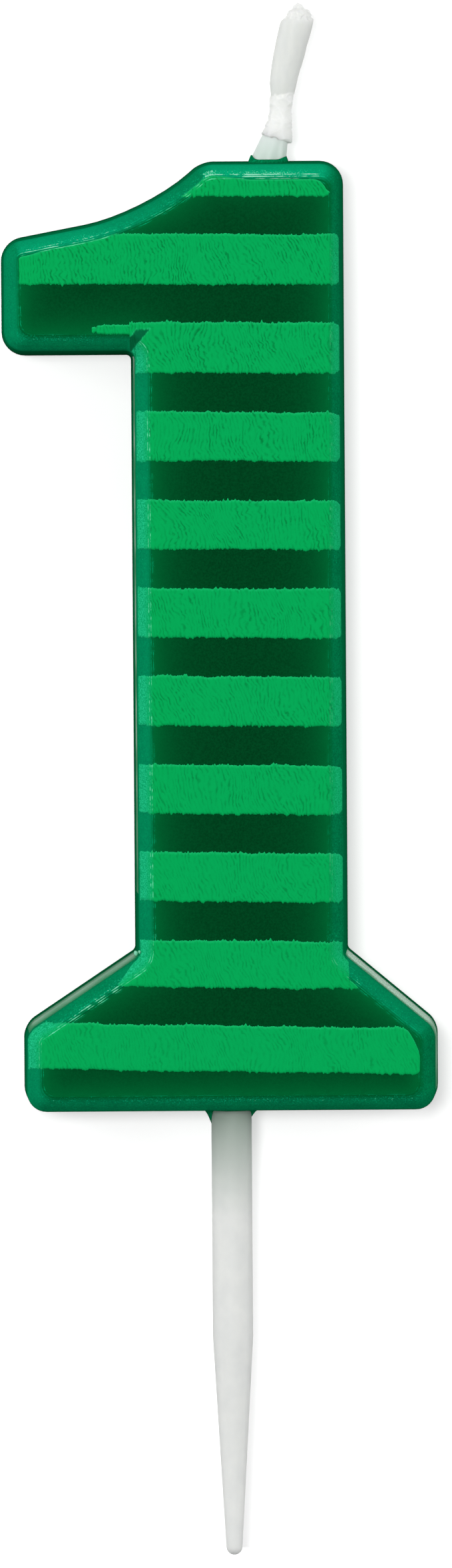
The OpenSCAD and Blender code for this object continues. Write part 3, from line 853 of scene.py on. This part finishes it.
def stripe_columns(number, wax):
    """The places across a stripe, each with its lower and upper end, and with the right end's corners
    rounded."""
    columns = []
    for step in range(round((FOOT_HALF - FLAG_LEFT) / COLUMN_STEP) + 1):
        x = FLAG_LEFT + step * COLUMN_STEP
        if number == TIPPED_STRIPE and x < TIP_X:
            continue
        lower, upper = ragged_edges(number, x)
        reach = bevel_reach(number, x)
        count = math.ceil((upper - lower) / FEELER_STEP)
        heights = [lower + (upper - lower) * part / count for part in range(count + 1)]
        inside = [part for part, z in enumerate(heights) if wax_depth(wax, x, z) < reach]
        if len(inside) < 2:
            continue
        first, last = inside[0], inside[-1]
        if first > 0:
            lower = last_inside(wax, x, heights[first], heights[first - 1], reach)
        if last < count:
            upper = last_inside(wax, x, heights[last], heights[last + 1], reach)
        columns.append((x, lower, upper))

    end = columns[-1][0]
    end_r = UPPER_END_R.get(number, PLAIN_END_R)
    rounded = []
    for x, lower, upper in columns:
        middle = (lower + upper) / 2
        rounded.append((x, min(lower + corner_fall(x, end, LOWER_END_R), middle - LEAST_HALF),
                        max(upper - corner_fall(x, end, end_r), middle + LEAST_HALF)))
    return rounded


def lacquer_stripe(number, wax, lacquer):
    """One stripe: a thin ragged film laid over the wax, sunk into it along its edges."""
    columns = stripe_columns(number, wax)
    bm = bmesh.new()
    thin, painted_brim_highlight, inward, tool_lines_light_and_shade, bare = new_measures(bm, FILM_MEASURES)
    last = len(columns) - 1
    bmesh.ops.create_grid(bm, x_segments=last, y_segments=COLUMN_ROWS, size=0.5)
    for vert in bm.verts:
        column = round((vert.co.x + 0.5) * last)
        x, lower, upper = columns[column]
        z = lower + (upper - lower) * (vert.co.y + 0.5)
        inside = min(z - lower, upper - z, column * COLUMN_STEP, (last - column) * COLUMN_STEP)
        cover = min(inside / MARGIN, 1)
        back = min(wax_depth(wax, x, z), DEEPEST)
        brushed = 0.03 * wobble((x, 0, z * 0.3), 0.3, number) * cover

        # Over the bevel the film is drawn thinnest and lightest on the left, which paints in the light from
        # that side, and stays thick on the topmost stripe
        thinnest_and_lit = 1 if x < 0 else 0.6
        if number == TOP_STRIPE:
            thinnest_and_lit = 0.3
        vert[thin] = min(back / 0.7, 1) * thinnest_and_lit
        # The brim is a painted highlight along the upper edge and round the patch that the brush missed
        vert[painted_brim_highlight] = max(1 - (upper - z) / BRIM, 0)
        if number == TIPPED_STRIPE:
            gap = missed_corner(x, z)
            vert[bare] = clamp(gap / 0.06)
            vert[painted_brim_highlight] = max(vert[painted_brim_highlight], 1 - abs(gap) / 0.07)
        vert[inward] = -back
        # Painted highlights on the tool-line ridges that show through the film, stronger on the left
        vert[tool_lines_light_and_shade] = min(back / 0.03, 1) * min(max(0.4 - back, 0) / 0.15, 1) * (1 if x < 0 else 0.4)
        vert.co = (x, FRONT + back - FILM * cover + SUNK - brushed, z)
    bmesh.ops.recalc_face_normals(bm, faces=bm.faces)
    if sum(face.normal.y for face in bm.faces) > 0:
        bmesh.ops.reverse_faces(bm, faces=bm.faces)
    bmesh.ops.solidify(bm, geom=bm.faces, thickness=FILM)
    return finish_piece(bm, f"lacquer_stripe_{number:02d}", [lacquer], "lacquer", f"stripe_{number:02d}")


def follow(course, z):
    """The centre and half width of the wick at a height."""
    for (x0, z0, r0), (x1, z1, r1) in zip(course, course[1:]):
        if z <= z1:
            part = max(z - z0, 0) / (z1 - z0)
            return x0 + (x1 - x0) * part, r0 + (r1 - r0) * part
    return course[-1][0], course[-1][2]


def wick_profile():
    """The half width of the wick up its length, with long steps inside the wax and fine ones above it."""
    foot = node_box("wick_root")[0].z
    start, end = WICK_COURSE[0][1], WICK_COURSE[-1][1]
    heights = [foot + 1 + step for step in range(int(start - foot - 1))]
    fine = round((end - start) / WICK_STEP)
    heights += [start + (end - start) * step / fine for step in range(fine + 1)]
    profile = [(0, foot), (WICK_COURSE[0][2], foot)]
    return profile + [(follow(WICK_COURSE, z)[1], z) for z in heights] + [(0, end + 0.05)]


def cotton_wick(cotton):
    """The wick: a stub with a cracked and crinkled waist, a smooth waxed sleeve above and a frayed tip."""
    start = WICK_COURSE[0][1]
    bm = bmesh.new()
    flaky = new_measures(bm, ["flaky"])[0]
    for vert in spin_profile(bm, wick_profile(), ORIGIN, WICK_ROUND):
        x, y, z = vert.co
        turn = math.atan2(y, x)
        right = math.cos(turn)
        round_place = (right, math.sin(turn), 0)

        # The ragged lines where the flakes start, the sleeve starts and the tip frays
        torn = TORN_Z - 0.38 * right + 0.14 * wobble(round_place, 0.35, 2)
        hem = HEM_Z + 0.12 * right + 0.15 * wobble(round_place, 0.3)
        collar = COLLAR_Z - 0.15 * right + 0.2 * wobble(round_place, 0.4, 5)
        frayed = clamp((z - collar) / 0.15)
        sleeve = clamp((z - hem) / 0.12) * (1 - frayed)
        cracked = (1 - sleeve) * (1 if torn < z < CRACKS_END_Z else 0)

        # Flakes on the waist, which stand out on the right, a smooth sleeve, and loose threads at the tip
        gaps = noise.voronoi(Vector((x, y, z * 0.8)) / 0.75)[0]
        flake = 0.1 * max(1 - (gaps[1] - gaps[0]) / 0.2, 0) + 0.16 * gaps[0] - 0.06
        rise = cracked * (flake + 0.05 * wobble((x, y, z), 0.2))
        rise += sleeve * (0.05 + 0.05 * wobble((x, y, z), 1.3) + 0.02 * wobble((x, y, z), 0.4))
        rise += 0.18 * cracked * max(1 - (z - torn) / 0.8, 0) * max(right, 0)
        rise += frayed * (0.22 * wobble((x, y, z), 0.45) + 0.14 * wobble((x, y, z), 0.2))
        if start < z < torn:
            rise = -0.4 * min(z - start, 1)
        radius = max(math.hypot(x, y), 0.001)
        swell = 1 + rise / radius if radius > 0.1 else 1
        lift = frayed * 0.2 * wobble((x, y, 0), 0.4, 3)
        vert[flaky] = max(cracked, 0.5 * frayed)
        vert.co = (follow(WICK_COURSE, z)[0] + x * swell, y * swell * WICK_FLATNESS,
                   min(z + lift, WICK_END_Z))
    piece = finish_piece(bm, "wick", [cotton], "cotton", "wick_root", "wick_tip")
    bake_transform(piece, "candle", "wick", start=(WICK_HINGE - UP * WICK_BEND) * MM,
             end=(WICK_HINGE + UP * WICK_BEND) * MM)
    return piece


def priming_cone(wax):
    """The clear wax drawn up round the wick's foot, which runs up under the flakes."""
    bm = bmesh.new()
    profile = [(radius, TOP + height) for radius, height in CONE_PROFILE]
    for vert in spin_profile(bm, profile, ORIGIN, WICK_ROUND, ring=True):
        x, y, z = vert.co
        swell = 1 + 0.015 * wobble((x, y, z), 0.9)
        lean = CONE_LEAN * max(z - TOP - 0.2, 0)
        vert.co = (CONE_X + lean + x * swell, y * CONE_FLATNESS * swell, z)
    piece = finish_piece(bm, "priming_wax_cone", [wax], "priming_wax", "wick_wax")
    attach(piece, "candle")
    return piece


def plastic_pick(plastic):
    """The pick: a ringed anchor inside the wax, a straight shank with a faint mould seam and a long blunt
    taper."""
    bm = bmesh.new()
    tip_turns = [math.radians(turn) for turn in range(0, 90, 10)]
    profile = [(PICK_TIP_R * math.sin(turn), PICK_TIP + PICK_TIP_R * (1 - math.cos(turn)))
               for turn in tip_turns]
    low = PICK_TIP + PICK_TIP_R
    for step in range(PICK_STEPS + 1):
        profile.append((PICK_TIP_R + (PICK_R - PICK_TIP_R) * step / PICK_STEPS,
                        low + (-PICK_STRAIGHT - low) * step / PICK_STEPS))
    for step in range(1, PICK_STEPS + 1):
        profile.append((PICK_R, -PICK_STRAIGHT * (1 - step / PICK_STEPS)))
    profile += [(PICK_R, SHANK_TOP), (ANCHOR_NECK_R, NECK_START)]
    for ring in range(1, ANCHOR_RINGS + 1):
        top = UNDERSIDE + (ANCHOR_TOP - UNDERSIDE) * ring / ANCHOR_RINGS
        profile += [(ANCHOR_NECK_R, top - ANCHOR_RING_H), (ANCHOR_R, top - ANCHOR_RING_H), (ANCHOR_R, top),
                    (ANCHOR_NECK_R, top)]
    profile.append((0, ANCHOR_TOP))
    for vert in spin_profile(bm, profile, ORIGIN, PICK_ROUND):
        turn = math.degrees(math.atan2(vert.co.y, vert.co.x))
        off_seam = min(abs(turn + SEAM_TURN), abs(turn + SEAM_TURN - 180))
        if vert.co.z < 0.2 and vert.co.xy.length > 0.1 and off_seam < SEAM_WIDTH:
            vert.co.xy *= SEAM_RISE
    piece = finish_piece(bm, "cake_pick", [plastic], "pick_plastic", "pick")
    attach(piece, "candle")
    return piece


def seen_as_backdrop(tree):
    """1 for what the camera sees straight, in a reflection or through something clear, and 0 for light."""
    path = add(tree, "ShaderNodeLightPath", {})
    seen = path.outputs["Is Camera Ray"]
    for ray in ("Is Glossy Ray", "Is Transmission Ray"):
        seen = add(tree, "ShaderNodeMath", {0: seen, 1: path.outputs[ray]}, operation="MAXIMUM").outputs[0]
    return seen


def white_stage(name, shade, glow):
    """Matt white card, grey where a shadow lies on it. It shows from the front alone, to the camera and in
    reflections. Other light passes through it, so the back of the object is lit too."""
    material, tree = new_material(name)
    behind = add(tree, "ShaderNodeNewGeometry", {}).outputs["Backfacing"]
    shown = add(tree, "ShaderNodeMath", {0: seen_as_backdrop(tree), 1: behind},
                operation="SUBTRACT", use_clamp=True).outputs[0]
    card = add(tree, "ShaderNodeBsdfDiffuse", {"Color": (shade, shade, shade, 1)}).outputs[0]
    light = add(tree, "ShaderNodeEmission", {"Strength": glow}).outputs[0]
    both = add(tree, "ShaderNodeAddShader", {0: card, 1: light}).outputs[0]
    clear = add(tree, "ShaderNodeBsdfTransparent", {}).outputs[0]
    front = add(tree, "ShaderNodeMixShader", {0: shown, 1: clear, 2: both}).outputs[0]
    add(tree, "ShaderNodeOutputMaterial", {"Surface": front})
    return material


def stage_plane(name, material, half, centre, turn):
    """A square sheet of the stage, this far from its centre to each side."""
    bm = bmesh.new()
    bmesh.ops.create_grid(bm, x_segments=1, y_segments=1, size=half * MM)
    bm.transform(Matrix.Translation(Vector(centre) * MM) @ turn)
    mesh = bpy.data.meshes.new(name)
    bm.to_mesh(mesh)
    bm.free()
    mesh.materials.append(material)
    plane = bpy.data.objects.new(name, mesh)
    bpy.context.scene.collection.objects.link(plane)


def soft_light(name, towards, share, away, size):
    """A round softbox, with its distance and size in metres. A share of 1, square on, shows a colour as it
    is written."""
    towards = Vector(towards).normalized()
    lamp = bpy.data.lights.new(name, "AREA")
    lamp.shape = "DISK"
    lamp.size = size
    lamp.energy = share * (math.pi * away) ** 2
    light = bpy.data.objects.new(name, lamp)
    light.location = LIT_POINT * MM + towards * away
    light.rotation_euler = towards.to_track_quat("Z", "Y").to_euler()
    bpy.context.scene.collection.objects.link(light)


def dim_room():
    """The world: a dim grey room to light by, white where it is seen."""
    world = bpy.data.worlds.new("dim_room")
    bpy.context.scene.world = world
    world.use_nodes = True
    tree = world.node_tree
    tree.nodes.clear()
    room = add(tree, "ShaderNodeBackground", {"Color": (0.25, 0.25, 0.25, 1)}).outputs[0]
    white = add(tree, "ShaderNodeBackground", {"Color": (1, 1, 1, 1)}).outputs[0]
    both = add(tree, "ShaderNodeMixShader", {0: seen_as_backdrop(tree), 1: room, 2: white}).outputs[0]
    add(tree, "ShaderNodeOutputWorld", {"Surface": both})


def studio():
    """A pale floor under the pick, a white card behind, a dim room, and soft lights in front, to the sides,
    above and behind."""
    stage_plane("floor", white_stage("floor_card", 0.4, 0.9), FLOOR_HALF, (0, 0, PICK_TIP - STAGE_GAP),
                Matrix.Identity(4))
    stage_plane("backdrop", white_stage("back_card", 0.74, 0.46), CARD_HALF,
                (0, BACK + STAGE_GAP, PICK_TIP + CARD_HALF), Matrix.Rotation(math.radians(90), 4, "X"))
    dim_room()
    soft_light("key", (-0.13, -0.98, 0.06), 0.46, 0.8, 0.16)
    soft_light("left_side", (-0.92, -0.32, 0.22), 0.41, 0.6, 0.3)
    soft_light("right_side", (0.92, -0.36, 0.1), 0.36, 0.6, 0.3)
    soft_light("overhead", (0, -0.4, 0.92), 0.25, 0.6, 0.3)
    soft_light("behind", (0.08, 0.97, 0.22), 0.75, 0.8, 0.3)


def photo_camera():
    """A long lens a little below the top of the numeral, aimed at its lower half."""
    ahead = (AIM - EYE).normalized()
    right = ahead.cross(UP).normalized()
    upward = right.cross(ahead)
    roll = Matrix.Rotation(math.radians(ROLL), 4, -ahead)
    turn = Matrix((right, upward, -ahead)).transposed().to_4x4()
    lens = bpy.data.cameras.new("photo_camera")
    lens.sensor_fit = "VERTICAL"
    lens.sensor_height = SENSOR_H
    lens.lens = LENS
    lens.clip_start = 0.01
    camera = bpy.data.objects.new("photo_camera", lens)
    camera.matrix_world = Matrix.Translation(EYE * MM) @ roll @ turn
    bpy.context.scene.collection.objects.link(camera)
    bpy.context.scene.camera = camera


bpy.context.scene.view_settings.view_transform = "Standard"
photo_camera()
studio()

numeral = moulded_numeral()
wax_surface = BVHTree.FromBMesh(numeral)
add_wax_lips(numeral)
waxes = [paraffin_wax("dyed_paraffin_wax", 0.0), paraffin_wax("smooth_paraffin_wax", 0.1)]
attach(finish_piece(numeral, "wax_numeral", waxes, "wax", "wax_body"), "candle")
lacquer = stripe_lacquer()
for stripe in range(1, STRIPES + 1):
    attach(lacquer_stripe(stripe, wax_surface, lacquer), "candle")
priming_cone(priming_wax())
cotton_wick(primed_cotton())
plastic_pick(pick_plastic())
